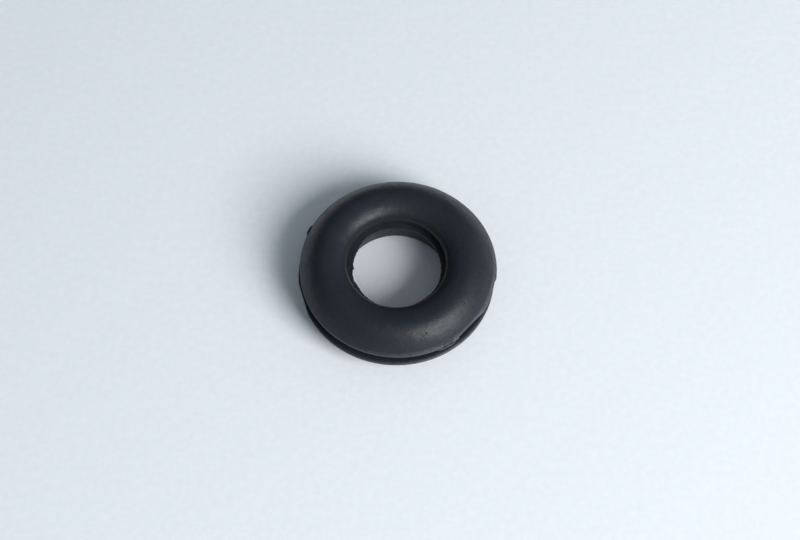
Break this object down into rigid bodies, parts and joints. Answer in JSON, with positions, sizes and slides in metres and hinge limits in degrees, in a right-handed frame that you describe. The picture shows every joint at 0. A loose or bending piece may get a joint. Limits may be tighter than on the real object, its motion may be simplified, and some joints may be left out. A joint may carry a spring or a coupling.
{
  "type": "rubber grommet",
  "caption": "Round black rubber grommet for a panel hole, with a domed flange on each side of a narrow groove and a torn web in its bore.",
  "frame": {"origin": "on the bore's axis, half way up the groove and half way up the part", "axes": "+Z along the bore's axis, out of the mouth nearer the web and away from the surface the part lies on; the nick in the upper rim is 42 degrees from +X towards -Y"},
  "size_m": [0.025, 0.025, 0.008],
  "materials": {
    "rubber": "matte moulded rubber, slightly bloomed"
  },
  "bodies": {
    "root": {"grommet": "rubber"}
  },
  "joints": []
}
